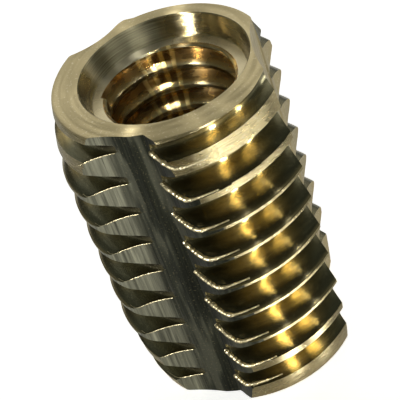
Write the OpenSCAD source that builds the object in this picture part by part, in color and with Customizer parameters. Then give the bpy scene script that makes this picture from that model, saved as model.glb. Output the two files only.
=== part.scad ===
// Self-tapping threaded insert, turned from one piece of brass.
// A coarse right-hand outer thread with a tapered lead cuts its own way into the host, three
// lengthwise flutes clear the chips, and a smaller threaded bore takes the machine screw.
// Millimetres. The foot face lies on z = 0, the axis is +Z and the mouth is at the top.

/* [Body] */
// Overall length
length = 13.8; // [8:0.1:30]
// Diameter over the outer thread's crests
thread_od = 9.92; // [7:0.02:14]

/* [Outer thread] */
// Distance from crest to crest
pitch = 1.5; // [1:0.05:2.5]
// Angle between the two flanks of a groove
groove_angle = 45; // [30:1:70]
// Width of the flat at the foot of a groove
root_flat = 0.32; // [0.1:0.02:0.5]
// Width of the flat on a crest
crest_flat = 0.12; // [0.06:0.01:0.3]
// Width of the bevel on each side of a crest
bevel_width = 0.23; // [0.05:0.01:0.4]
// Height of the same bevel, measured towards the axis
bevel_height = 0.25; // [0.05:0.01:0.5]
// Distance from the mouth face down to the first crest on the +X side
crest_drop = 0.83; // [0:0.01:1.5]

/* [Ends] */
// Length of the lead taper at the mouth
lead_length = 3.0; // [0:0.1:8]
// How far the lead taper stands in from the crests at the mouth face
lead_drop = 0.58; // [0:0.05:1.2]
// Height of the foot chamfer
foot_chamfer = 1.2; // [0.1:0.05:2]
// How far the foot face's rim stands in from the crests
foot_drop = 0.58; // [0:0.02:1.2]
// How far the top of the foot chamfer stands in from the crests
foot_land_drop = 0.25; // [0:0.05:0.8]
// Height at which the foot taper reaches the full diameter
foot_taper_top = 3.0; // [1:0.1:5]

/* [Flutes] */
// Direction of each flute, in degrees from +X; the outer thread starts in the second one
flute_angle = [-4.5, 123, 239.5]; // [-180:0.5:360]
// Greatest depth of each flute below the crests
flute_depth = [1.58, 1.24, 0.98]; // [0.2:0.02:1.6]
// Radius of the cutter that left each flute
flute_cutter = [7, 3, 7]; // [2.5:0.1:60]

/* [Bore] */
// Inner thread's crest diameter
bore_d = 5.0; // [3:0.1:7]
// Width of the seat that widens the bore below the mouth
seat_width = 0.5; // [0.1:0.05:1]
// Height of that seat
seat_height = 0.35; // [0.05:0.05:1]
// Width of the steep cone between the seat and the mouth face
mouth_width = 0.3; // [0.05:0.05:0.8]
// Height of that cone
mouth_height = 0.7; // [0.1:0.05:2]
// Width and height of the bore's bevel at the foot
foot_bevel = 0.4; // [0:0.05:1]

/* [Parts] */
// Piece to build

/* [Hidden] */
$fn = 96;
stations = 48;
slack = 0.2;
crest_r = thread_od / 2;
crest_half = (pitch - crest_flat) / 2;
bevel_half = crest_half - bevel_width;
bevel_r = crest_r - bevel_height;
root_r = bevel_r - (bevel_half - root_flat / 2) / tan(groove_angle / 2);
over = 0.35 * crest_flat;
over_r = crest_r + over * bevel_height / bevel_width;
// The groove starts inside a flute, on the first turn that clears the foot face
start_angle = flute_angle[1];
start_top = length - crest_drop - pitch / 2 + pitch * start_angle / 360;
start_z = start_top - pitch * floor((start_top - crest_half) / pitch);
turns = ceil((length - start_z) / pitch) + 1;

// Corners of the groove's section, as radius and height about its middle.
// The bevels run straight on past the crests, so no corner lies on the blank's skin
groove_section = [
    [root_r, -root_flat / 2],
    [bevel_r, -bevel_half],
    [over_r, -crest_half - over],
    [over_r, crest_half + over],
    [bevel_r, bevel_half],
    [root_r, root_flat / 2]
];

function groove_point(i, corner) =
    let (a = start_angle + 360 * i / stations)
    [corner[0] * cos(a), corner[0] * sin(a), start_z + pitch * i / stations + corner[1]];

// Blank before threading: foot chamfer, foot taper, full diameter and tapered lead
module blank() {
    rotate_extrude()
        polygon([
            [0, 0],
            [crest_r - foot_drop, 0],
            [crest_r - foot_land_drop, foot_chamfer],
            [crest_r, foot_taper_top],
            [crest_r, length - lead_length],
            [crest_r - lead_drop, length],
            [0, length]
        ]);
}

// Right-hand helical groove, swept on past the mouth face
module groove() {
    steps = turns * stations;
    n = len(groove_section);
    points = [for (i = [0 : steps]) for (c = groove_section) groove_point(i, c)];
    walls = [
        for (i = [0 : steps - 1])
            for (j = [0 : n - 1])
                let (a = i * n + j, b = i * n + (j + 1) % n)
                each [[a, b, b + n], [a, b + n, a + n]]
    ];
    start_cap = [for (j = [n - 1 : -1 : 0]) j];
    end_cap = [for (j = [0 : n - 1]) steps * n + j];
    polyhedron(points, concat([start_cap], walls, [end_cap]), convexity = 20);
}

// One flute, left by a round cutter fed along the insert
module flute(i) {
    rotate([0, 0, flute_angle[i]])
        translate([crest_r - flute_depth[i] + flute_cutter[i], 0, -slack])
            cylinder(h = length + 2 * slack, r = flute_cutter[i]);
}

// Bore with its seat, the cone of the mouth and the foot bevel
module bore() {
    bore_r = bore_d / 2;
    seat_r = bore_r + seat_width;
    mouth_z = length - mouth_height;
    translate([0, 0, -slack])
        cylinder(h = length + 2 * slack, r = bore_r);
    translate([0, 0, mouth_z - seat_height])
        cylinder(h = seat_height, r1 = bore_r, r2 = seat_r);
    translate([0, 0, mouth_z])
        cylinder(h = mouth_height, r1 = seat_r, r2 = seat_r + mouth_width);
    cylinder(h = foot_bevel, r1 = bore_r + foot_bevel, r2 = bore_r);
}

module insert() {
    color([0.72, 0.62, 0.36])
        difference() {
            blank();
            groove();
            for (i = [0 : len(flute_angle) - 1])
                flute(i);
            bore();
        }
}

insert();
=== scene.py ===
"""Looks of a self-tapping threaded insert in turned brass.

The insert is one body of revolution. A helical groove leaves its outer thread, three flutes cross
that thread, and a second helical groove leaves the thread of the bore. Metres, +Z up.
"""

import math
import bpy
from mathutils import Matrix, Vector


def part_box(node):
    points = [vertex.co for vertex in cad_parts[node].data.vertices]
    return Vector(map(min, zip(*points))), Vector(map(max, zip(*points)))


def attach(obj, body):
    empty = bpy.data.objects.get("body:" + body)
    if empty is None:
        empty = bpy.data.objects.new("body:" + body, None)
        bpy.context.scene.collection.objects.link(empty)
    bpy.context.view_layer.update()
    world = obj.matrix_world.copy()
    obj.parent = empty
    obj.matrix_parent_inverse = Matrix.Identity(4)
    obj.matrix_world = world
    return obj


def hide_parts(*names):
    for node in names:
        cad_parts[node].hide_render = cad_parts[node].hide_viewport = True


bl_info = {
    "name": "Threaded Insert",
    "version": (1, 0, 0),
    "blender": (4, 5, 0),
    "location": "3D View > Sidebar > Insert",
    "description": "Builds a self-tapping threaded insert and its studio",
    "category": "Add Mesh",
}

import bmesh
import bpy
import numpy as np
from bpy.props import FloatProperty, FloatVectorProperty, IntProperty, PointerProperty
from mathutils import Euler, Vector

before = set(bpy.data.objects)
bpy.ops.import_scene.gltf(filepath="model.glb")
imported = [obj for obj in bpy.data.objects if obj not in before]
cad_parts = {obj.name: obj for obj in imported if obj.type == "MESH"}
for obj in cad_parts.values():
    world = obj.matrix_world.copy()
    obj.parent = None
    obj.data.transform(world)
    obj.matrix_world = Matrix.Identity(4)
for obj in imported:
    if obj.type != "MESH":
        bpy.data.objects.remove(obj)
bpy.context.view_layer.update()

MM = 0.001
BODY = "root"
CAD_NODE = "insert"
FULL_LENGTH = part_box(CAD_NODE)[1].z
FULL_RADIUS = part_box(CAD_NODE)[1].y


# ---------------------------------------------------------------------------------------------
# Sizes, finishes and studio values
# ---------------------------------------------------------------------------------------------


def size(name, description, default):
    """A length in metres; the default is given in millimetres."""
    return FloatProperty(
        name=name, description=description, default=default * MM, unit="LENGTH", subtype="DISTANCE"
    )


def angle(name, description, default):
    """An angle; the default is given in degrees."""
    return FloatProperty(
        name=name, description=description, default=math.radians(default), subtype="ANGLE"
    )


def tone(name, description, default):
    """A linear colour."""
    return FloatVectorProperty(
        name=name, description=description, default=default, size=3, min=0, max=1, subtype="COLOR"
    )


class InsertSizes(bpy.types.PropertyGroup):
    """Sizes of the insert."""

    length: size("Length", "From the foot face to the mouth face", FULL_LENGTH / MM)
    radius: size("Outer radius", "Radius over the outer thread's crests", FULL_RADIUS / MM)
    pitch: size("Outer pitch", "Distance between crests of the outer thread", 1.5)
    root_radius: size("Root radius", "Radius at the bottom of the outer groove", 4.0)
    groove_angle: angle("Groove start", "Where the outer groove begins, inside a flute", 123)
    groove_start: size(
        "Groove start height", "Height of the groove's middle where it begins", 0.7325
    )
    bore_radius: size("Bore radius", "Radius of the inner thread's crests", 2.5)
    bore_pitch: size("Inner pitch", "Distance between crests of the inner thread", 1.0)
    bore_end_angle: angle("Inner groove end", "Where the inner groove breaks off", 168)
    bore_end: size("Inner groove end height", "Height of the groove's middle where it ends", 12.63)
    mouth_radius: size("Mouth radius", "Radius of the countersink at the mouth face", 3.3)
    stations: IntProperty(
        name="Stations a turn", description="Sections in one turn of a groove", default=128, min=24
    )


class InsertFinish(bpy.types.PropertyGroup):
    """Colours of the brass."""

    brass: tone("Brass", "Clean turned brass", (0.52, 0.43, 0.235))
    # Gold is partly painted light: this warmer brass at the groove's root stands in for light
    # reflected to and fro in the groove.
    gold: tone("Gold", "Burnished brass at the bottom of a groove", (0.50, 0.385, 0.15))
    # Brown is tarnish; up the grooves' flanks and between the bore's glints it is also painted
    # shade.
    brown: tone("Brown", "Tarnished brass on the flanks", (0.155, 0.128, 0.060))
    # Green is the flutes' dark brass; it is also mixed into the painted shade on the grooves and
    # the countersink.
    green: tone("Green", "Dull grey-green brass in the flutes", (0.040, 0.042, 0.028))
    # Painted shade: this colour darkens the grooves and the countersink where they are to look
    # dark.
    shade_olive: tone("Olive", "Tarnish in the shaded grooves", (0.225, 0.225, 0.15))
    copper: tone("Copper", "Warm brass in the bore", (0.46, 0.29, 0.10))
    # Pale is wear on edges, burrs and specks, and also a painted highlight on the mouth's seat.
    pale: tone("Pale", "Worn edges and burrs", (0.86, 0.78, 0.56))
    # Painted reflection: the lighter brass on the front flute's sides near the crests, where they
    # mirror the white floor.
    tooth_reflection: tone("Tooth", "Bare sides of the front flute, near the crests", (0.36, 0.35, 0.25))
    streak: tone("Streak", "Lighter streaks along the flutes", (0.11, 0.108, 0.075))
    # Painted highlight: the colour of the golden glints on the bore's far wall.
    painted_glint: tone("Rubbed", "Strips of the bore rubbed bright by a screw", (1.0, 0.78, 0.32))
    grime: tone("Grime", "Dirt in the marks of the grooves", (0.01, 0.01, 0.006))
    soot: tone("Soot", "Dirt in the marks of the flutes", (0.008, 0.009, 0.007))


class StudioValues(bpy.types.PropertyGroup):
    """Floor, lamps and camera."""

    floor_size: FloatProperty(
        name="Floor", description="Side of the floor", default=0.8, unit="LENGTH"
    )
    floor_tone: tone("Floor tone", "Colour of the floor", (0.92, 0.92, 0.92))
    room_tone: tone("Room tone", "Colour of the room around the floor", (0.13, 0.135, 0.11))
    strip_power: FloatProperty(
        name="Strip power", description="Power of each strip lamp", default=0.12, unit="POWER"
    )
    panel_power: FloatProperty(
        name="Panel power", description="Power of the panel behind", default=0.085, unit="POWER"
    )
    floor_strip_power: FloatProperty(
        name="Floor strip power", description="Power of the first strip on the floor",
        default=1.4e-3, unit="POWER",
    )
    lens: FloatProperty(name="Lens", description="Focal length in mm", default=134.6)
    camera_at: FloatVectorProperty(
        name="Camera", description="Place of the camera", unit="LENGTH", size=3,
        default=(0.0024097, -0.0459797, 0.0446714),
    )
    camera_turn: FloatVectorProperty(
        name="Camera turn", description="Turn of the camera", subtype="EULER", size=3,
        default=(0.857033, 0.268728, -0.164830),
    )


# ---------------------------------------------------------------------------------------------
# Meshes
# ---------------------------------------------------------------------------------------------

# The outer groove's half section: height out from the root and half-width, in millimetres.
# It has a round bottom, a straight flank and a bevelled crest, and runs on past the crests
GROOVE_SECTION = (
    (-0.004, 0.04), (0.006, 0.10), (0.035, 0.165), (0.09, 0.212), (0.17, 0.25), (0.30, 0.295),
    (0.42, 0.35), (0.54, 0.415), (0.66, 0.47), (0.76, 0.525), (0.84, 0.585), (0.91, 0.65),
    (0.95, 0.69), (1.06, 0.73),
)
# The inner groove's half section, with height out from the bore's crests towards its root
BORE_SECTION = (
    (-0.10, 0.45), (0.0, 0.425), (0.03, 0.375), (0.22, 0.25), (0.44, 0.115), (0.5, 0.06),
)
# Each flute: direction in degrees, cutter radius and depth below the crests in millimetres
FLUTES = ((-4.5, 7.0, 1.59), (123.0, 3.0, 1.24), (239.5, 7.0, 0.98))
# The front flute's far side is a straight wall with a rounded edge: where its foot and its edge
# are, in degrees from the flute's direction, and how far it rises in each degree
FRONT = 2
WALL_FOOT, WALL_SLOPE, WALL_EDGE = 12.0, 0.0735, 29.0
# The skimmed part of the mouth's rim: from and to, in degrees, and its radius at the mouth face
SKIM_START, SKIM_END, SKIM_RADIUS = -24.0, 112.0, 3.88 * MM
# Points of the blank's profile that lie on its outside
OUTSIDE_POINTS = 19
# Camera's direction round the axis in degrees, for the strips that it sees mirrored
CAMERA_AZIMUTH = -87


def link(obj):
    bpy.context.scene.collection.objects.link(obj)
    return obj


def mesh_object(name, vertices, faces):
    """A linked object from plain lists, with its faces turned outwards."""
    mesh = bpy.data.meshes.new(name)
    mesh.from_pydata(vertices, [], faces)
    bm = bmesh.new()
    bm.from_mesh(mesh)
    bmesh.ops.recalc_face_normals(bm, faces=bm.faces)
    bm.to_mesh(mesh)
    bm.free()
    return link(bpy.data.objects.new(name, mesh))


def ring_solid(name, profile, segments):
    """A closed ring: the profile's points, as radius and height, turned about the axis."""
    turn = [2 * math.pi * i / segments for i in range(segments)]
    vertices = [(r * math.cos(a), r * math.sin(a), z) for a in turn for r, z in profile]
    n = len(profile)
    faces = [
        (i * n + j, ((i + 1) % segments) * n + j, ((i + 1) % segments) * n + (j + 1) % n,
         i * n + (j + 1) % n)
        for i in range(segments)
        for j in range(n)
    ]
    return mesh_object(name, vertices, faces)


def prism(name, outline, bottom, top):
    """A closed prism over an outline of points in the XY plane."""
    n = len(outline)
    vertices = [(x, y, z) for z in (bottom, top) for x, y in outline]
    faces = [tuple(range(n)), tuple(range(n, 2 * n))]
    faces += [(i, (i + 1) % n, n + (i + 1) % n, n + i) for i in range(n)]
    return mesh_object(name, vertices, faces)


def section_curve(name, half_section, flip=1):
    """A closed curve of a groove's whole section, in metres, for a sweep to carry."""
    lower = [(flip * h * MM, -w * MM) for h, w in half_section]
    upper = [(flip * h * MM, w * MM) for h, w in reversed(half_section)]
    curve = bpy.data.curves.new(name, "CURVE")
    curve.dimensions = "3D"
    spline = curve.splines.new("POLY")
    spline.points.add(len(lower + upper) - 1)
    for point, (x, y) in zip(spline.points, lower + upper):
        point.co = (x, y, 0, 1)
    spline.use_cyclic_u = True
    return link(bpy.data.objects.new(name, curve))


def blank_profile(s):
    """Outer contour and bore of the blank, as radius and height, once round."""
    r, top, bore = s.radius, s.length, s.bore_radius
    outside = [
        (r - 0.60 * MM, 0), (r - 0.54 * MM, 0.035 * MM), (r - 0.44 * MM, 0.40 * MM),
        (r - 0.34 * MM, 0.78 * MM), (r - 0.262 * MM, 1.18 * MM), (r - 0.225 * MM, 1.8 * MM),
        (r - 0.15 * MM, 2.2 * MM), (r - 0.06 * MM, 2.6 * MM), (r - 0.015 * MM, 3.0 * MM),
        (r, 3.3 * MM), (r, 10.5 * MM), (r - 0.03 * MM, 10.9 * MM), (r - 0.14 * MM, 11.7 * MM),
        (r - 0.28 * MM, 12.4 * MM), (r - 0.45 * MM, 13.1 * MM), (r - 0.56 * MM, 13.62 * MM),
        (r - 0.59 * MM, top - 0.075 * MM), (r - 0.63 * MM, top - 0.025 * MM), (r - 0.70 * MM, top),
    ]
    inside = [
        (s.mouth_radius + 0.03 * MM, top), (s.mouth_radius - 0.01 * MM, top - 0.04 * MM),
        (3.06 * MM, 12.92 * MM), (3.02 * MM, 12.88 * MM), (2.62 * MM, 12.88 * MM),
        (bore, 12.78 * MM), (bore, 0.4 * MM), (bore + 0.4 * MM, 0),
    ]
    return outside + inside


def smooth_min(a, b, reach):
    """The lesser of two lengths, rounded off where they meet."""
    near = max(reach - abs(a - b), 0) / reach
    return min(a, b) - near**2 * reach / 4


def flute_radius(s, index, turn):
    """Radius in millimetres that a flute leaves, at an angle in degrees from its direction."""
    _, cutter, depth = FLUTES[index]
    centre, a = s.radius / MM - depth + cutter, math.radians(turn)
    across = cutter**2 - (centre * math.sin(a)) ** 2
    bowl = centre * math.cos(a) - math.sqrt(max(across, 0))
    if index != FRONT:
        return bowl
    if turn < 2.5:
        return smooth_min(bowl, 4.90 - 0.012 * (turn + 30), 0.25)
    floor = 3.985 - 0.0075 * (turn - 2.5)
    wall = s.root_radius / MM - 0.06 + WALL_SLOPE * (turn - WALL_FOOT)
    return smooth_min(max(floor, wall), 4.93 + 0.01 * (turn - WALL_EDGE), 0.3)


def flute_span(s, index):
    """Angles in degrees from a flute's direction at which it is well clear of the blank."""
    if index == FRONT:
        return -42.0, 45.0
    _, cutter, depth = FLUTES[index]
    centre = s.radius / MM - depth + cutter
    reach = math.degrees(math.acos((centre**2 + 5.2**2 - cutter**2) / (2 * centre * 5.2)))
    return -reach, reach


def flute_outline(s, index):
    """Outline of a flute's cutter where it crosses the blank, closed well outside it."""
    start, end = flute_span(s, index)
    turns = np.linspace(start, end, 81)
    points = [(flute_radius(s, index, t), t) for t in turns]
    points += [(8.0, end), (9.0, (start + end) / 2), (8.0, start)]
    angles = [math.radians(FLUTES[index][0] + t) for _, t in points]
    return [(r * math.cos(a) * MM, r * math.sin(a) * MM) for (r, _), a in zip(points, angles)]


# ---------------------------------------------------------------------------------------------
# Geometry Nodes
# ---------------------------------------------------------------------------------------------


def node_tree(name, inputs):
    """A new Geometry Nodes tree with named inputs and one geometry output."""
    tree = bpy.data.node_groups.new(name, "GeometryNodeTree")
    tree.interface.new_socket("Geometry", in_out="OUTPUT", socket_type="NodeSocketGeometry")
    for socket, kind, value in inputs:
        made = tree.interface.new_socket(socket, in_out="INPUT", socket_type="NodeSocket" + kind)
        if value is not None:
            made.default_value = value
    return tree, tree.nodes.new("NodeGroupInput"), tree.nodes.new("NodeGroupOutput")


def helical_sweep():
    """Carries a section round a right-handed helix and closes both its ends."""
    tree, given, out = node_tree(
        "helical_sweep",
        [
            ("Section", "Object", None), ("Radius", "Float", 0.004), ("Pitch", "Float", 0.0015),
            ("Turns", "Float", 9.0), ("Stations", "Int", 96), ("Start Height", "Float", 0.0),
            ("Start Angle", "Float", 0.0),
        ],
    )
    new, join = tree.nodes.new, tree.links.new
    rise = new("ShaderNodeMath")
    rise.operation = "MULTIPLY"
    join(given.outputs["Pitch"], rise.inputs[0])
    join(given.outputs["Turns"], rise.inputs[1])
    helix = new("GeometryNodeCurveSpiral")
    join(given.outputs["Stations"], helix.inputs["Resolution"])
    join(given.outputs["Turns"], helix.inputs["Rotations"])
    join(given.outputs["Radius"], helix.inputs["Start Radius"])
    join(given.outputs["Radius"], helix.inputs["End Radius"])
    join(rise.outputs[0], helix.inputs["Height"])
    helix.inputs["Reverse"].default_value = True
    up = new("GeometryNodeSetCurveNormal")
    up.mode = "Z_UP"
    join(helix.outputs[0], up.inputs["Curve"])
    section = new("GeometryNodeObjectInfo")
    join(given.outputs["Section"], section.inputs["Object"])
    sweep = new("GeometryNodeCurveToMesh")
    sweep.inputs["Fill Caps"].default_value = True
    join(up.outputs[0], sweep.inputs["Curve"])
    join(section.outputs["Geometry"], sweep.inputs["Profile Curve"])
    place, turn = new("ShaderNodeCombineXYZ"), new("ShaderNodeCombineXYZ")
    join(given.outputs["Start Height"], place.inputs["Z"])
    join(given.outputs["Start Angle"], turn.inputs["Z"])
    move = new("GeometryNodeTransform")
    join(sweep.outputs[0], move.inputs["Geometry"])
    join(place.outputs[0], move.inputs["Translation"])
    join(turn.outputs[0], move.inputs["Rotation"])
    join(move.outputs[0], out.inputs[0])
    return tree


def threaded_body(sweep_tree):
    """Cuts both helical grooves and the flutes from the blank."""
    tree, given, out = node_tree(
        "threaded_body",
        [
            ("Geometry", "Geometry", None), ("Outer Section", "Object", None),
            ("Outer Radius", "Float", 0.004), ("Outer Pitch", "Float", 0.0015),
            ("Outer Turns", "Float", 9.0), ("Outer Start", "Float", 0.0),
            ("Outer Angle", "Float", 0.0), ("Bore Section", "Object", None),
            ("Bore Radius", "Float", 0.0025), ("Bore Pitch", "Float", 0.001),
            ("Bore Turns", "Float", 12.0), ("Bore Start", "Float", 0.0),
            ("Bore Angle", "Float", 0.0), ("Stations", "Int", 96), ("Flutes", "Object", None),
            ("Material", "Material", None),
        ],
    )
    new, join = tree.nodes.new, tree.links.new
    cut = new("GeometryNodeMeshBoolean")
    cut.operation, cut.solver = "DIFFERENCE", "MANIFOLD"
    join(given.outputs["Geometry"], cut.inputs["Mesh 1"])
    for which in ("Bore", "Outer"):
        groove = new("GeometryNodeGroup")
        groove.node_tree = sweep_tree
        join(given.outputs[which + " Section"], groove.inputs["Section"])
        join(given.outputs[which + " Radius"], groove.inputs["Radius"])
        join(given.outputs[which + " Pitch"], groove.inputs["Pitch"])
        join(given.outputs[which + " Turns"], groove.inputs["Turns"])
        join(given.outputs[which + " Start"], groove.inputs["Start Height"])
        join(given.outputs[which + " Angle"], groove.inputs["Start Angle"])
        join(given.outputs["Stations"], groove.inputs["Stations"])
        join(groove.outputs[0], cut.inputs["Mesh 2"])
    flutes = new("GeometryNodeObjectInfo")
    join(given.outputs["Flutes"], flutes.inputs["Object"])
    join(flutes.outputs["Geometry"], cut.inputs["Mesh 2"])
    smooth = new("GeometryNodeSetShadeSmooth")
    join(cut.outputs["Mesh"], smooth.inputs[0])
    real = new("GeometryNodeRealizeInstances")
    join(smooth.outputs[0], real.inputs[0])
    paint = new("GeometryNodeSetMaterial")
    join(real.outputs[0], paint.inputs["Geometry"])
    join(given.outputs["Material"], paint.inputs["Material"])
    join(paint.outputs[0], out.inputs[0])
    return tree


def evaluated_mesh(obj, tree, values):
    """Runs a tree on an object with the named values, and returns the plain mesh."""
    modifier = obj.modifiers.new("build", "NODES")
    modifier.node_group = tree
    sockets = {i.name: i.identifier for i in tree.interface.items_tree if i.in_out == "INPUT"}
    for name, value in values.items():
        modifier[sockets[name]] = value
    depsgraph = bpy.context.evaluated_depsgraph_get()
    mesh = bpy.data.meshes.new_from_object(obj.evaluated_get(depsgraph))
    obj.modifiers.remove(modifier)
    return mesh


# ---------------------------------------------------------------------------------------------
# Materials
# ---------------------------------------------------------------------------------------------


class Wiring:
    """Short words for building a node tree."""

    def __init__(self, tree):
        self.tree = tree

    def node(self, kind, **settings):
        made = self.tree.nodes.new(kind)
        for key, value in settings.items():
            setattr(made, key, value)
        return made

    def put(self, source, socket):
        """Joins an output, or sets a plain value."""
        if isinstance(source, bpy.types.NodeSocket):
            self.tree.links.new(source, socket)
        else:
            socket.default_value = source

    def math(self, operation, *values, clamp=False):
        made = self.node("ShaderNodeMath", operation=operation, use_clamp=clamp)
        for i, value in enumerate(values):
            self.put(value, made.inputs[i])
        return made.outputs[0]

    def times(self, first, second):
        return self.math("MULTIPLY", first, second)

    def ramp(self, value, low, high, start=0.0, end=1.0, smooth=True):
        """A value carried from one range to another and held at its ends."""
        kind = "SMOOTHSTEP" if smooth else "LINEAR"
        made = self.node("ShaderNodeMapRange", interpolation_type=kind)
        for name, v in (
            ("Value", value), ("From Min", low), ("From Max", high), ("To Min", start),
            ("To Max", end),
        ):
            self.put(v, made.inputs[name])
        return made.outputs["Result"]

    def mix(self, factor, first, second, blend="MIX"):
        made = self.node("ShaderNodeMix", data_type="RGBA", blend_type=blend, clamp_factor=True)
        for socket, value in zip((0, 6, 7), (factor, first, second)):
            self.put(value, made.inputs[socket])
        return made.outputs[2]

    def vector(self, x, y, z):
        made = self.node("ShaderNodeCombineXYZ")
        for value, socket in zip((x, y, z), made.inputs):
            self.put(value, socket)
        return made.outputs[0]

    def noise(self, vector, scale, detail=2.0, roughness=0.5):
        made = self.node("ShaderNodeTexNoise", noise_dimensions="3D")
        self.put(vector, made.inputs["Vector"])
        made.inputs["Scale"].default_value = scale
        made.inputs["Detail"].default_value = detail
        made.inputs["Roughness"].default_value = roughness
        return made.outputs["Fac"]


def shader_group(name, inputs, outputs):
    """A shader node group with named sockets, and its wiring."""
    tree = bpy.data.node_groups.new(name, "ShaderNodeTree")
    for socket, kind, value in inputs:
        made = tree.interface.new_socket(socket, in_out="INPUT", socket_type="NodeSocket" + kind)
        made.default_value = value
    for socket, kind in outputs:
        tree.interface.new_socket(socket, in_out="OUTPUT", socket_type="NodeSocket" + kind)
    return Wiring(tree), tree.nodes.new("NodeGroupInput"), tree.nodes.new("NodeGroupOutput")


def turned_coordinates():
    """Radius, turn and height of a point, in millimetres and degrees, from Object coordinates."""
    w, _, out = shader_group(
        "turned_coordinates", [], [("Radius", "Float"), ("Turn", "Float"), ("Height", "Float")]
    )
    place = w.node("ShaderNodeTexCoord").outputs["Object"]
    split = w.node("ShaderNodeSeparateXYZ")
    w.put(place, split.inputs[0])
    x, y, z = split.outputs
    across = w.math("SQRT", w.math("ADD", w.math("MULTIPLY", x, x), w.math("MULTIPLY", y, y)))
    w.put(w.math("MULTIPLY", across, 1000.0), out.inputs["Radius"])
    w.put(w.math("DEGREES", w.math("ARCTAN2", y, x)), out.inputs["Turn"])
    w.put(w.math("MULTIPLY", z, 1000.0), out.inputs["Height"])
    return w.tree


def tool_marks():
    """Fine parallel marks: Across runs over the marks and Along runs with them."""
    w, given, out = shader_group(
        "tool_marks",
        [("Across", "Float", 0.0), ("Along", "Float", 0.0), ("Spacing", "Float", 0.05)],
        [("Fine", "Float"), ("Broad", "Float")],
    )
    across = w.math("DIVIDE", given.outputs["Across"], given.outputs["Spacing"])
    fine = w.noise(w.vector(across, given.outputs["Along"], 0.0), 1.0, 3.0, 0.65)
    broad = w.noise(
        w.vector(w.math("MULTIPLY", across, 0.21), given.outputs["Along"], 7.0), 1.0, 2.0, 0.5
    )
    w.put(w.ramp(fine, 0.3, 0.7, smooth=False), out.inputs["Fine"])
    w.put(w.ramp(broad, 0.34, 0.66), out.inputs["Broad"])
    return w.tree


def patina():
    """Blotches and specks of tarnish over the whole surface."""
    w, given, out = shader_group(
        "patina",
        [("Size", "Float", 1.0), ("Amount", "Float", 0.5)],
        [("Blotch", "Float"), ("Speck", "Float")],
    )
    place = w.node("ShaderNodeTexCoord").outputs["Object"]
    grow = w.node("ShaderNodeVectorMath", operation="SCALE")
    w.put(place, grow.inputs[0])
    w.put(w.math("DIVIDE", 1000.0, given.outputs["Size"]), grow.inputs["Scale"])
    blotch = w.noise(grow.outputs[0], 0.8, 4.0, 0.6)
    speck = w.noise(grow.outputs[0], 9.0, 1.0, 0.4)
    level = w.math("SUBTRACT", 1.0, given.outputs["Amount"])
    w.put(w.ramp(blotch, level, w.math("ADD", level, 0.25)), out.inputs["Blotch"])
    w.put(w.ramp(speck, 0.64, 0.72), out.inputs["Speck"])
    return w.tree


def use_group(w, tree, **inputs):
    made = w.node("ShaderNodeGroup", node_tree=tree)
    for name, value in inputs.items():
        w.put(value, made.inputs[name])
    return made.outputs


def metal(name, groups, build, anisotropy=0.0, relief=0.0):
    """A brass material: build(w, coordinates) returns its colour, roughness and relief height."""
    material = bpy.data.materials.new(name)
    material.use_nodes = True
    w = Wiring(material.node_tree)
    shader = material.node_tree.nodes["Principled BSDF"]
    shader.inputs["Metallic"].default_value = 1.0
    shader.inputs["Anisotropic"].default_value = anisotropy
    shader.inputs["Anisotropic Rotation"].default_value = 0.25
    colour, roughness, height = build(w, use_group(w, groups["turned_coordinates"]))
    w.put(colour, shader.inputs["Base Color"])
    w.put(roughness, shader.inputs["Roughness"])
    if anisotropy:
        tangent = w.node("ShaderNodeTangent", direction_type="RADIAL", axis="Z")
        w.put(tangent.outputs[0], shader.inputs["Tangent"])
    if relief:
        bump = w.node("ShaderNodeBump")
        bump.inputs["Strength"].default_value = relief
        bump.inputs["Distance"].default_value = 0.02 * MM
        w.put(height, bump.inputs["Height"])
        w.put(bump.outputs[0], shader.inputs["Normal"])
    return material


def rgba(colour):
    return (*colour, 1.0)


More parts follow.
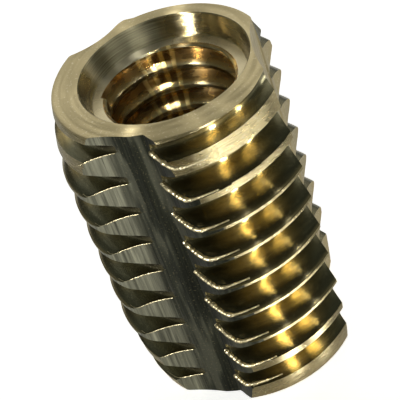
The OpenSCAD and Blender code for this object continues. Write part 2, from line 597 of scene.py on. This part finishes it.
def brass_materials(f):
    """The finishes of the insert, in the order of the body's material slots."""
    groups = {tree.name: tree for tree in (turned_coordinates(), tool_marks(), patina())}
    brass, gold, brown, green, shade_olive, copper, pale, tooth_reflection, streak, painted_glint, grime, soot = (
        rgba(getattr(f, name)) for name in InsertFinish.__annotations__
    )

    def marks(w, across, along, spacing):
        return use_group(w, groups["tool_marks"], Across=across, Along=along, Spacing=spacing)

    def stains(w, size, amount):
        return use_group(w, groups["patina"], Size=size, Amount=amount)

    def lengthwise(w, c, spacing):
        """Marks that run along the flutes."""
        return marks(w, w.times(c["Turn"], 0.0785), w.times(c["Height"], 0.22), spacing)

    def land(w, c):
        m = marks(w, c["Height"], w.times(c["Turn"], 0.12), 0.035)
        p = stains(w, 0.5, 0.45)
        colour = w.mix(w.times(m["Fine"], 0.8), w.mix(0.22, brass, brown), brown)
        colour = w.mix(w.times(p["Blotch"], 0.35), colour, brown)
        colour = w.mix(w.times(p["Speck"], 0.5), colour, pale)
        return colour, w.ramp(m["Broad"], 0, 1, 0.26, 0.32), m["Fine"]

    def groove(w, c):
        m = marks(w, c["Height"], w.times(c["Turn"], 0.05), 0.085)
        p = stains(w, 0.9, 0.5)
        # Painted glow and shade by depth: gold at the root, brown up the flanks towards the crests.
        flank = w.ramp(c["Radius"], 4.38, 4.75)
        colour = w.mix(flank, gold, brown)
        colour = w.mix(w.times(p["Blotch"], 0.35), colour, brown)
        # Painted shade: the grooves next to the front flute, and those far round to the right, are
        # darkened with the shade tones
        shade_beside = w.times(w.ramp(c["Turn"], -98, -80, 0.85, 0), w.ramp(c["Turn"], -172, -156))
        painted_dark = w.mix(w.ramp(c["Turn"], -150, -138), shade_olive, w.mix(0.1, green, shade_olive))
        colour = w.mix(shade_beside, colour, painted_dark)
        far = w.times(w.ramp(c["Turn"], -56, -46, 0, 0.8), w.ramp(c["Turn"], 20, 60, 1, 0))
        colour = w.mix(far, colour, w.mix(0.2, shade_olive, green))
        colour = w.mix(w.times(m["Fine"], 0.6), colour, w.mix(0.7, colour, grime))
        colour = w.mix(w.times(p["Speck"], 0.35), colour, w.mix(0.5, colour, pale))
        edge = w.ramp(c["Radius"], 4.84, 4.94)
        colour = w.mix(w.times(edge, 0.8), colour, brass)
        rough = w.math("MULTIPLY_ADD", flank, -0.09, w.ramp(m["Broad"], 0, 1, 0.22, 0.25))
        return colour, rough, m["Fine"]

    def flute(w, c):
        m = lengthwise(w, c, 0.13)
        p = stains(w, 0.6, 0.5)
        # Painted reflection: the sides near the crests are lighter; the rest of the flute stays
        # dark green.
        reflection_mask = w.times(w.ramp(c["Radius"], 3.98, 4.2), w.ramp(c["Turn"], -124, -121, 1, 0))
        colour = w.mix(reflection_mask, green, tooth_reflection)
        colour = w.mix(w.times(m["Fine"], 0.85), colour, soot)
        colour = w.mix(w.ramp(m["Broad"], 0.55, 1.0, 0, 0.5), colour, streak)
        colour = w.mix(w.times(p["Speck"], 0.12), colour, brass)
        return colour, w.ramp(m["Broad"], 0, 1, 0.34, 0.5), m["Fine"]

    def face(w, c):
        m = marks(w, c["Radius"], w.times(c["Turn"], 0.02), 0.045)
        p = stains(w, 0.8, 0.42)
        colour = w.mix(w.times(m["Fine"], 0.3), brass, w.mix(0.45, brass, brown))
        colour = w.mix(w.times(p["Blotch"], 0.2), colour, brown)
        colour = w.mix(w.times(p["Speck"], 0.35), colour, pale)
        return colour, w.ramp(m["Broad"], 0, 1, 0.3, 0.42), m["Fine"]

    def mouth(w, c):
        m = marks(w, c["Height"], w.times(c["Turn"], 0.02), 0.06)
        # Painted shade: between these turns the countersink is darkened towards the shade tones and
        # made rougher.
        painted_dark = w.times(w.ramp(c["Turn"], 78, 92), w.ramp(c["Turn"], 140, 160, 1, 0))
        colour = w.mix(m["Fine"], w.mix(0.2, brass, brown), w.mix(0.75, brass, brown))
        colour = w.mix(w.times(painted_dark, 0.7), colour, w.mix(m["Fine"], shade_olive, green))
        # Painted highlight: the flat seat is painted a little paler than the countersink
        colour = w.mix(w.ramp(c["Radius"], 3.0, 3.06, 0.22, 0), colour, pale)
        rough = w.math("MULTIPLY_ADD", painted_dark, 0.3, w.ramp(m["Broad"], 0, 1, 0.2, 0.28))
        return colour, rough, m["Fine"]

    def bore(w, c):
        m = marks(w, c["Height"], w.times(c["Turn"], 0.04), 0.05)
        p = stains(w, 0.7, 0.45)
        colour = w.mix(w.ramp(c["Radius"], 2.5, 2.62), brass, copper)
        colour = w.mix(w.times(p["Blotch"], 0.4), colour, brown)
        # Painted highlights: bright golden strips on the bore's far wall, with the brass between
        # them painted a little darker
        strips = w.ramp(w.math("SINE", w.times(c["Turn"], 0.7)), -0.1, 0.5)
        strips = w.times(strips, w.ramp(c["Turn"], 76, 84))
        strips = w.times(strips, w.ramp(c["Turn"], 108, 116, 1, 0))
        colour = w.mix(w.math("SUBTRACT", 0.2, w.times(strips, 0.2)), colour, brown)
        colour = w.mix(w.times(strips, 0.9), colour, painted_glint)
        return colour, w.ramp(m["Broad"], 0, 1, 0.2, 0.32), m["Fine"]

    def side(w, c):
        m = lengthwise(w, c, 0.09)
        p = stains(w, 0.6, 0.45)
        colour = w.mix(w.times(m["Fine"], 0.5), w.mix(0.25, brass, brown), w.mix(0.5, brass, brown))
        colour = w.mix(w.times(p["Blotch"], 0.35), colour, brown)
        colour = w.mix(w.times(p["Speck"], 0.5), colour, pale)
        return colour, w.ramp(m["Broad"], 0, 1, 0.34, 0.5), m["Fine"]

    def burr(w, c):
        p = stains(w, 0.25, 0.5)
        worn = w.math("MULTIPLY_ADD", p["Blotch"], 0.6, 0.3)
        colour = w.mix(worn, w.mix(0.3, brass, pale), brown)
        return colour, w.ramp(p["Blotch"], 0, 1, 0.34, 0.5), p["Speck"]

    return [
        metal("brass_land", groups, land, anisotropy=1.0, relief=0.35),
        metal("brass_groove", groups, groove, anisotropy=1.0, relief=0.1),
        metal("brass_flute", groups, flute, relief=0.45),
        metal("brass_face", groups, face, anisotropy=1.0, relief=0.3),
        metal("brass_mouth", groups, mouth, anisotropy=1.0, relief=0.35),
        metal("brass_bore", groups, bore, anisotropy=0.8, relief=0.2),
        metal("brass_side", groups, side, relief=0.4),
        metal("brass_burr", groups, burr, relief=0.5),
    ]


LAND, GROOVE, FLUTE, FACE, MOUTH, BORE, SIDE, BURR = range(8)


# How far the crests' lead runs up from the foot, and how much lower they are at the foot
LEAD_LENGTH, LEAD_DROP = 3 * MM, 0.58 * MM
# How often a burr's thickness changes, in a metre
BURR_NOISE = 8500.0


def edge_burrs():
    """Ragged strips along the edges where a side of a flute leaves the outer groove."""
    tree, given, out = node_tree(
        "edge_burrs",
        [
            ("Geometry", "Geometry", None), ("Direction", "Float", 0.0), ("Start", "Float", 0.1),
            ("End", "Float", 0.5), ("Straight", "Float", 0.0), ("Cutter", "Float", 0.002),
            ("Centre", "Float", 0.006), ("Foot", "Float", 0.2), ("Slope", "Float", 0.004),
            ("Root", "Float", 0.004), ("Crest", "Float", 0.0049), ("Pitch", "Float", 0.0015),
            ("First Height", "Float", 0.0), ("Turns", "Int", 9), ("Thickness", "Float", 0.00005),
            ("Material", "Material", None),
        ],
    )
    w = Wiring(tree)
    calc, value = w.math, given.outputs
    line = w.node("GeometryNodeCurvePrimitiveLine")
    cut = w.node("GeometryNodeResampleCurve")
    cut.inputs["Count"].default_value = 110
    w.put(line.outputs[0], cut.inputs["Curve"])
    copies = w.node("GeometryNodeDuplicateElements", domain="SPLINE")
    w.put(cut.outputs[0], copies.inputs["Geometry"])
    w.put(value["Turns"], copies.inputs["Amount"])
    along = w.node("GeometryNodeSplineParameter").outputs["Factor"]
    index = copies.outputs["Duplicate Index"]
    base = calc("MULTIPLY_ADD", index, value["Pitch"], value["First Height"])
    reach = calc("SUBTRACT", value["End"], value["Start"])
    swing = calc("MULTIPLY_ADD", reach, along, value["Start"])
    # The two kinds of side: a bowl left by a round cutter, and a straight wall
    sine = calc("MULTIPLY", value["Centre"], calc("SINE", swing))
    across = calc("SUBTRACT", w.times(value["Cutter"], value["Cutter"]), w.times(sine, sine))
    cosine = w.times(value["Centre"], calc("COSINE", swing))
    bowl = calc("SUBTRACT", cosine, calc("SQRT", across))
    climb = calc("SUBTRACT", swing, value["Foot"])
    wall = calc("MULTIPLY_ADD", climb, value["Slope"], value["Root"])
    side = calc("MULTIPLY_ADD", calc("SUBTRACT", wall, bowl), value["Straight"], bowl)
    # The crests run in towards the foot over the tapered lead
    left = calc("SUBTRACT", 1.0, calc("DIVIDE", base, LEAD_LENGTH), clamp=True)
    lead = w.times(left, LEAD_DROP)
    radius = calc("SMOOTH_MIN", side, calc("SUBTRACT", value["Crest"], lead), 0.3 * MM)
    turn = calc("ADD", swing, value["Direction"])
    rise = calc("MULTIPLY", calc("SUBTRACT", radius, value["Root"]), 1000.0)
    rise = calc("MAXIMUM", rise, 0.0)
    # Half the groove's width at this radius, in millimetres
    half = calc("MULTIPLY_ADD", rise, 0.47, 0.16)
    half = calc("MULTIPLY_ADD", calc("POWER", rise, 8.0), 0.1, half)
    height = calc("MULTIPLY_ADD", calc("DIVIDE", swing, 2 * math.pi), value["Pitch"], base)
    height = calc("MULTIPLY_ADD", half, -MM, height)
    place = w.node("GeometryNodeSetPosition")
    w.put(copies.outputs["Geometry"], place.inputs["Geometry"])
    x = calc("MULTIPLY", radius, calc("COSINE", turn))
    y = calc("MULTIPLY", radius, calc("SINE", turn))
    w.put(w.vector(x, y, height), place.inputs["Position"])
    spot = w.node("GeometryNodeInputPosition").outputs[0]
    scaled = w.node("ShaderNodeVectorMath", operation="SCALE")
    w.put(spot, scaled.inputs[0])
    scaled.inputs["Scale"].default_value = BURR_NOISE
    rough = w.noise(scaled.outputs[0], 1.0, 2.0, 0.6)
    worn = calc("MULTIPLY", w.ramp(rough, 0.3, 0.7, 0.75, 1.1), w.ramp(along, 0.45, 0.9, 1.0, 0.3))
    thick = calc("MULTIPLY", worn, value["Thickness"])
    grow = w.node("GeometryNodeSetCurveRadius")
    w.put(place.outputs[0], grow.inputs["Curve"])
    w.put(thick, grow.inputs["Radius"])
    ring = w.node("GeometryNodeCurvePrimitiveCircle")
    ring.inputs["Resolution"].default_value = 7
    ring.inputs["Radius"].default_value = 1.0
    tube = w.node("GeometryNodeCurveToMesh")
    tube.inputs["Fill Caps"].default_value = True
    w.put(grow.outputs[0], tube.inputs["Curve"])
    w.put(ring.outputs[0], tube.inputs["Profile Curve"])
    if "Scale" in tube.inputs:
        w.put(w.node("GeometryNodeInputRadius").outputs[0], tube.inputs["Scale"])
    smooth = w.node("GeometryNodeSetShadeSmooth")
    w.put(tube.outputs[0], smooth.inputs[0])
    real = w.node("GeometryNodeRealizeInstances")
    w.put(smooth.outputs[0], real.inputs[0])
    paint = w.node("GeometryNodeSetMaterial")
    w.put(real.outputs[0], paint.inputs["Geometry"])
    w.put(value["Material"], paint.inputs["Material"])
    w.put(paint.outputs[0], out.inputs[0])
    return tree


def outer_radius(s, z):
    """The blank's radius at a height."""
    points = [(h, r) for r, h in blank_profile(s)[:OUTSIDE_POINTS]]
    return float(np.interp(z, [p[0] for p in points], [p[1] for p in points]))


def skim_rim(s, mesh):
    """Turns the rim of the mouth down a little between the first two flutes."""
    for vertex in mesh.vertices:
        x, y, z = vertex.co
        r, a = math.hypot(x, y), math.degrees(math.atan2(y, x))
        if r < 3.6 * MM or z < 11 * MM or not SKIM_START < a < SKIM_END:
            continue
        share = min(1.0, (a - SKIM_START) / 10, (SKIM_END - a) / 12)
        limit = SKIM_RADIUS + 0.45 * (s.length - z)
        if r > limit:
            scale = 1 + share * (limit / r - 1)
            vertex.co = (x * scale, y * scale, z)


def finish_of(s, centre, normal):
    """Which finish a face of the body takes, from its place and direction."""
    r, z = math.hypot(centre.x, centre.y), centre.z
    if abs(normal.z) > 0.9 and (z > s.length - 0.02 * MM or z < 0.02 * MM):
        return FACE
    if r < s.mouth_radius + 0.05 * MM:
        return MOUTH if z > 12.84 * MM else BORE
    if z > s.length - 0.08 * MM:
        return FACE
    for index, (direction, _, _) in enumerate(FLUTES):
        turn = (math.degrees(math.atan2(centre.y, centre.x)) - direction + 180) % 360 - 180
        start, end = flute_span(s, index)
        if not start < turn < end or abs(normal.z) >= 0.2:
            continue
        if abs(r / MM - flute_radius(s, index, turn)) < 0.03:
            return SIDE if index == 0 else FLUTE
    return LAND if r > outer_radius(s, z) - 0.012 * MM else GROOVE


# ---------------------------------------------------------------------------------------------
# Operators
# ---------------------------------------------------------------------------------------------


class INSERT_OT_body(bpy.types.Operator):
    """Build the threaded body and let it stand for the CAD node"""

    bl_idname = "insert.body"
    bl_label = "Threaded Body"

    def execute(self, context):
        s = context.scene.insert_sizes
        blank = ring_solid("insert_body", blank_profile(s), 256)
        cutters = [
            prism(f"flute_{i}", flute_outline(s, i), -1 * MM, s.length + 1 * MM)
            for i in range(len(FLUTES))
        ]
        flutes = cutters[0]
        with context.temp_override(active_object=flutes, selected_editable_objects=cutters):
            bpy.ops.object.join()
        sections = [
            section_curve("outer_section", GROOVE_SECTION),
            section_curve("bore_section", BORE_SECTION),
        ]
        materials = brass_materials(context.scene.insert_finish)
        bore_turns = 13.5
        bore_start = s.bore_end - bore_turns * s.bore_pitch
        mesh = evaluated_mesh(
            blank,
            threaded_body(helical_sweep()),
            {
                "Outer Section": sections[0],
                "Outer Radius": s.root_radius,
                "Outer Pitch": s.pitch,
                "Outer Turns": math.ceil((s.length - s.groove_start) / s.pitch) + 1.0,
                "Outer Start": s.groove_start,
                "Outer Angle": s.groove_angle,
                "Bore Section": sections[1],
                "Bore Radius": s.bore_radius,
                "Bore Pitch": s.bore_pitch,
                "Bore Turns": bore_turns,
                "Bore Start": bore_start,
                "Bore Angle": s.bore_end_angle - bore_turns * 2 * math.pi,
                "Stations": s.stations,
                "Flutes": flutes,
                "Material": materials[0],
            },
        )
        blank.data = mesh
        for helper in (flutes, *sections):
            bpy.data.objects.remove(helper)
        if len(mesh.polygons) < 5000:
            raise RuntimeError("the body was not cut")
        skim_rim(s, mesh)
        mesh.materials.clear()
        for material in materials:
            mesh.materials.append(material)
        for polygon in mesh.polygons:
            polygon.material_index = finish_of(s, polygon.center, polygon.normal)
        mesh.shade_smooth()
        mesh.set_sharp_from_angle(angle=math.radians(26))
        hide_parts(CAD_NODE)
        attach(blank, BODY)
        return {"FINISHED"}


class INSERT_OT_burrs(bpy.types.Operator):
    """Build the burrs on the edges of the front flute"""

    bl_idname = "insert.burrs"
    bl_label = "Edge Burrs"

    def execute(self, context):
        s = context.scene.insert_sizes
        tree = edge_burrs()
        direction, cutter, depth = FLUTES[FRONT]
        a = math.radians(direction)
        shared = {
            "Direction": a, "Cutter": cutter * MM, "Centre": s.radius - depth * MM + cutter * MM,
            "Foot": math.radians(WALL_FOOT), "Slope": math.degrees(WALL_SLOPE * MM),
            "Root": s.root_radius, "Crest": s.radius - 0.12 * MM, "Pitch": s.pitch,
            "First Height": s.groove_start + s.pitch * (a - s.groove_angle) / (2 * math.pi),
            "Turns": int((s.length - 0.2 * MM) / s.pitch),
            "Material": bpy.data.materials["brass_burr"],
        }
        for name, straight, start, end, thickness in (
            ("burrs_wall", 1.0, WALL_FOOT + 0.5, WALL_EDGE + 9, 0.1),
            ("burrs_bowl", 0.0, -8.0, -32.0, 0.024),
        ):
            burrs = mesh_object(name, [(0, 0, 0)], [])
            own = {
                "Straight": straight, "Start": math.radians(start), "End": math.radians(end),
                "Thickness": thickness * MM,
            }
            burrs.data = evaluated_mesh(burrs, tree, shared | own)
            if len(burrs.data.polygons) < 500:
                raise RuntimeError("the burrs were not built")
            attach(burrs, BODY)
        return {"FINISHED"}


def lamp(
    name, azimuth, elevation, distance, width, height, power, mirrored_only=False,
    middle=Vector((0, 0, 7 * MM)), spread=180,
):
    """A rectangular lamp aimed at a point; angles in degrees, lengths in metres."""
    a, e = math.radians(azimuth), math.radians(elevation)
    towards = Vector((math.cos(e) * math.cos(a), math.cos(e) * math.sin(a), math.sin(e)))
    place = middle + distance * towards
    data = bpy.data.lights.new(name, "AREA")
    data.shape, data.size, data.size_y, data.energy = "RECTANGLE", width, height, power
    data.spread = math.radians(spread)
    obj = link(bpy.data.objects.new(name, data))
    obj.visible_diffuse = not mirrored_only
    obj.location = place
    obj.rotation_euler = (middle - place).to_track_quat("-Z", "Y").to_euler()
    return obj


def floor_strip(name, facing, width, power):
    """A strip lamp flat on the floor, seen mirrored by the camera in sides that face one way."""
    side, out = math.radians(facing), math.radians(2 * facing - CAMERA_AZIMUTH)
    place = 5 * MM * Vector((math.cos(side), math.sin(side), 0))
    place += 8.5 * MM * Vector((math.cos(out), math.sin(out), 0))
    data = bpy.data.lights.new(name, "AREA")
    data.shape, data.size, data.size_y, data.energy = "RECTANGLE", 15 * MM, width, power
    obj = link(bpy.data.objects.new(name, data))
    obj.visible_diffuse = obj.visible_camera = False
    obj.location = (place.x, place.y, 0.2 * MM)
    obj.rotation_euler = (math.pi, 0, out)
    return obj


class INSERT_OT_stage(bpy.types.Operator):
    """Build the floor, the room, the lamps and the camera"""

    bl_idname = "insert.stage"
    bl_label = "Stage"

    def execute(self, context):
        v = context.scene.studio_values
        half = v.floor_size / 2
        floor = mesh_object(
            "floor", [(-half, -half, 0), (half, -half, 0), (half, half, 0), (-half, half, 0)],
            [(0, 1, 2, 3)],
        )
        if floor.data.polygons[0].normal.z < 0:
            floor.data.flip_normals()
        material = bpy.data.materials.new("floor_white")
        material.use_nodes = True
        w = Wiring(material.node_tree)
        nodes = material.node_tree.nodes
        shader = nodes["Principled BSDF"]
        grain = w.noise(w.node("ShaderNodeTexCoord").outputs["Object"], 400.0, 2.0, 0.5)
        w.put(
            w.mix(w.math("MULTIPLY", grain, 0.04), rgba(v.floor_tone), (0.86, 0.86, 0.86, 1)),
            shader.inputs["Base Color"],
        )
        shader.inputs["Roughness"].default_value = 0.9
        shader.inputs["Specular IOR Level"].default_value = 0.0
        seen = w.node("ShaderNodeLightPath").outputs
        mirrored = w.math("MAXIMUM", seen["Is Glossy Ray"], seen["Is Transmission Ray"])
        rays = w.math("MAXIMUM", seen["Is Camera Ray"], w.math("MULTIPLY", mirrored, 0.35))
        shader.inputs["Emission Color"].default_value = (1, 1, 1, 1)
        w.put(w.math("MULTIPLY", rays, 0.82), shader.inputs["Emission Strength"])
        floor.data.materials.append(material)

        world = bpy.data.worlds.new("room")
        world.use_nodes = True
        world.node_tree.nodes["Background"].inputs["Color"].default_value = rgba(v.room_tone)
        context.scene.world = world

        lamp("strip_a", -65, 10, 0.11, 0.004, 0.062, v.strip_power * 0.8, True)
        lamp("strip_b", -34, 10, 0.11, 0.005, 0.062, v.strip_power * 0.5, True)
        lamp("strip_c", -138, 18, 0.11, 0.010, 0.08, v.strip_power * 1.7, True)
        lamp("strip_d", 7, 10, 0.11, 0.020, 0.062, v.strip_power * 0.2, True)
        # A narrow beam down the mouth, on the far wall of the bore
        bore_wall = Vector((-0.8 * MM, 2.1 * MM, 11 * MM))
        lamp(
            "bore_light", -59, 70, 0.05, 0.006, 0.004, v.strip_power * 0.0002, True, bore_wall, 5
        )
        floor_strip("low_strip_a", -75, 0.9 * MM, v.floor_strip_power)
        floor_strip("low_strip_b", -59, 0.9 * MM, v.floor_strip_power / 1.4)
        lamp("panel", 93, 42, 0.16, 0.20, 0.14, v.panel_power)

        data = bpy.data.cameras.new("camera")
        data.lens, data.sensor_width = v.lens, 36.0
        data.clip_start, data.clip_end = 0.001, 10.0
        camera = link(bpy.data.objects.new("camera", data))
        camera.location = v.camera_at
        camera.rotation_euler = Euler(v.camera_turn)
        context.scene.camera = camera
        context.scene.view_settings.view_transform = "Standard"
        return {"FINISHED"}


class INSERT_PT_panel(bpy.types.Panel):
    """Lists the steps that build the insert and its stage"""

    bl_idname = "INSERT_PT_panel"
    bl_label = "Threaded Insert"
    bl_space_type = "VIEW_3D"
    bl_region_type = "UI"
    bl_category = "Insert"

    def draw(self, context):
        scene, layout = context.scene, self.layout
        for group in (scene.insert_sizes, scene.insert_finish, scene.studio_values):
            box = layout.box()
            for name in group.__annotations__:
                box.prop(group, name)
        layout.operator(INSERT_OT_body.bl_idname)
        layout.operator(INSERT_OT_burrs.bl_idname)
        layout.operator(INSERT_OT_stage.bl_idname)


CLASSES = (
    InsertSizes, InsertFinish, StudioValues, INSERT_OT_body, INSERT_OT_burrs, INSERT_OT_stage,
    INSERT_PT_panel,
)


def register():
    for cls in CLASSES:
        bpy.utils.register_class(cls)
    bpy.types.Scene.insert_sizes = PointerProperty(type=InsertSizes)
    bpy.types.Scene.insert_finish = PointerProperty(type=InsertFinish)
    bpy.types.Scene.studio_values = PointerProperty(type=StudioValues)


def unregister():
    del bpy.types.Scene.studio_values
    del bpy.types.Scene.insert_finish
    del bpy.types.Scene.insert_sizes
    for cls in reversed(CLASSES):
        bpy.utils.unregister_class(cls)


def main():
    register()
    bpy.ops.insert.body()
    bpy.ops.insert.burrs()
    bpy.ops.insert.stage()


if __name__ == "__main__":
    main()
